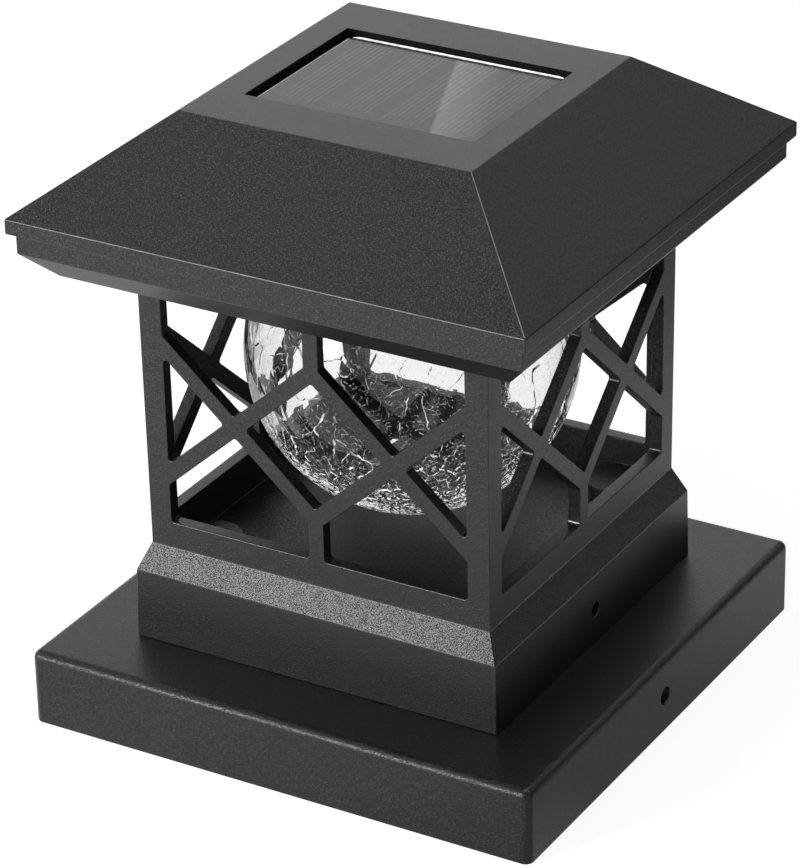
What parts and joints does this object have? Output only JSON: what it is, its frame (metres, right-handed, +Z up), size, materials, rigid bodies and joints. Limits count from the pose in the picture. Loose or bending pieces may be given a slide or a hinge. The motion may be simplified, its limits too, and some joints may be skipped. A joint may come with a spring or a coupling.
{
  "type": "deck post cap light",
  "caption": "Square lantern-style solar light that caps a deck post, with a hipped roof, lattice sides and a crackle glass globe.",
  "frame": {"origin": "middle of the underside of the base flange, on the plane that it stands on", "axes": "+Z up; the lattice sides face -Y, +X, +Y and -X; the long side of the solar panel runs along X"},
  "size_m": [0.15, 0.15, 0.1699],
  "materials": {
    "flange_black": "satin fine-textured moulding",
    "lantern_black": "satin fine-textured moulding",
    "roof_black": "satin fine-textured moulding",
    "tray_black": "satin fine-textured moulding",
    "panel_clear": "clear resin cover",
    "cell_silicon": "dark silicon with fine silver fingers",
    "backing_board": "dark laminate",
    "foam_black": "closed-cell foam",
    "crackle_glass": "clear, crazed with fine cracks",
    "silicone_clear": "soft silicone",
    "screw_steel": "zinc plated",
    "board_white": "white solder mask",
    "board_green": "green solder mask",
    "lamp_clear": "clear epoxy with a warm tint",
    "reflector_white": "white moulding",
    "holder_black": "plain moulding",
    "cell_sleeve": "plain shrink sleeve with a steel end",
    "contact_nickel": "nickel plated",
    "chip_black": "moulded package",
    "coil_copper": "enamelled copper on ferrite",
    "switch_tin": "tinned steel",
    "slider_black": "ribbed moulding",
    "lead_red": "insulated wire",
    "lead_black": "insulated wire",
    "lead_white": "insulated wire"
  },
  "bodies": {
    "lantern_base": {"base_flange": "flange_black", "lantern_body": "lantern_black", "flange_screws": "screw_steel"},
    "roof_head": {"roof_shell": "roof_black", "head_tray": "tray_black", "tray_screws": "screw_steel", "panel_seal": "foam_black", "panel_board": "backing_board", "panel_cells": "cell_silicon", "panel_cover": "panel_clear", "crackle_globe": "crackle_glass", "neck_seal": "silicone_clear", "globe_collar": "tray_black", "collar_screws": "screw_steel", "led_board": "board_white", "led_lamps": "lamp_clear", "led_reflector": "reflector_white", "led_screws": "screw_steel", "battery_holder": "holder_black", "battery_cell": "cell_sleeve", "battery_spring": "contact_nickel", "battery_contact": "contact_nickel", "control_board": "board_green", "controller_chip": "chip_black", "choke_coil": "coil_copper", "board_screws": "screw_steel", "switch_case": "switch_tin", "panel_leads": "lead_red", "battery_leads": "lead_black", "led_leads": "lead_white"},
    "switch_knob": {"switch_slider": "slider_black"}
  },
  "joints": [
    {"name": "head_lift", "type": "slide", "parent": "lantern_base", "child": "roof_head", "axis": [0, 0, 1], "range_m": [0, 0.085]},
    {"name": "switch_slide", "type": "slide", "parent": "roof_head", "child": "switch_knob", "axis": [1, 0, 0], "range_m": [0, 0.004]}
  ]
}
